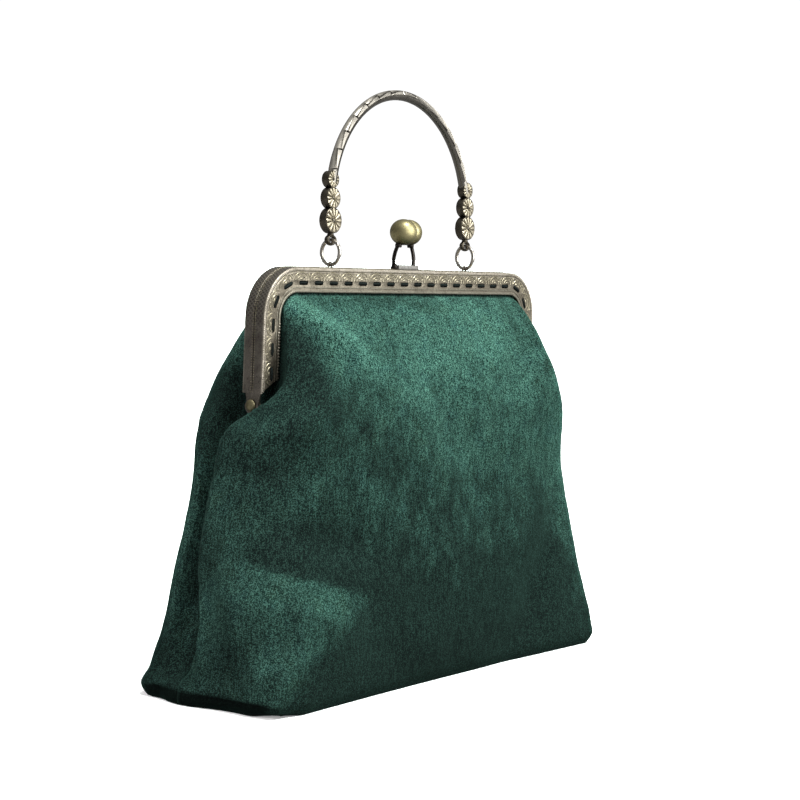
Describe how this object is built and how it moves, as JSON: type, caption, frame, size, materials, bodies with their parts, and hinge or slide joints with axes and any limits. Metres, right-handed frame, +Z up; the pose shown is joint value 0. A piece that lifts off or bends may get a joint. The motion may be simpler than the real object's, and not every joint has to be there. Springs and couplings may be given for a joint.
{
  "type": "frame bag",
  "caption": "Small soft velvet handbag with a boxed base on a rounded metal purse frame, closed by a ball kiss lock and carried by a rigid arched handle on jump rings.",
  "frame": {"origin": "centre of the box round the bag, on the floor under the base", "axes": "+X along the frame to the wearer's left when the front faces a viewer, +Y from front to back, +Z up"},
  "size_m": [0.2432, 0.0756, 0.2603],
  "materials": {
    "green_velvet": "velvet pile",
    "antique_bronze": "antique, worn high spots",
    "aged_brass": "polished, aged"
  },
  "bodies": {
    "bag": {"front_panel": "green_velvet", "back_panel": "green_velvet", "front_frame": "antique_bronze", "back_frame": "antique_bronze", "left_rivet": "aged_brass", "right_rivet": "aged_brass", "back_clasp": "aged_brass", "front_clasp": "aged_brass", "left_ring": "antique_bronze", "right_ring": "antique_bronze"},
    "handle": {"handle": "antique_bronze"}
  },
  "joints": [
    {"name": "handle_swing", "type": "hinge", "parent": "bag", "child": "handle", "pos_m": [0, 0.0018, 0.18685], "axis": [1, 0, 0], "range_deg": [-107, 112]}
  ]
}
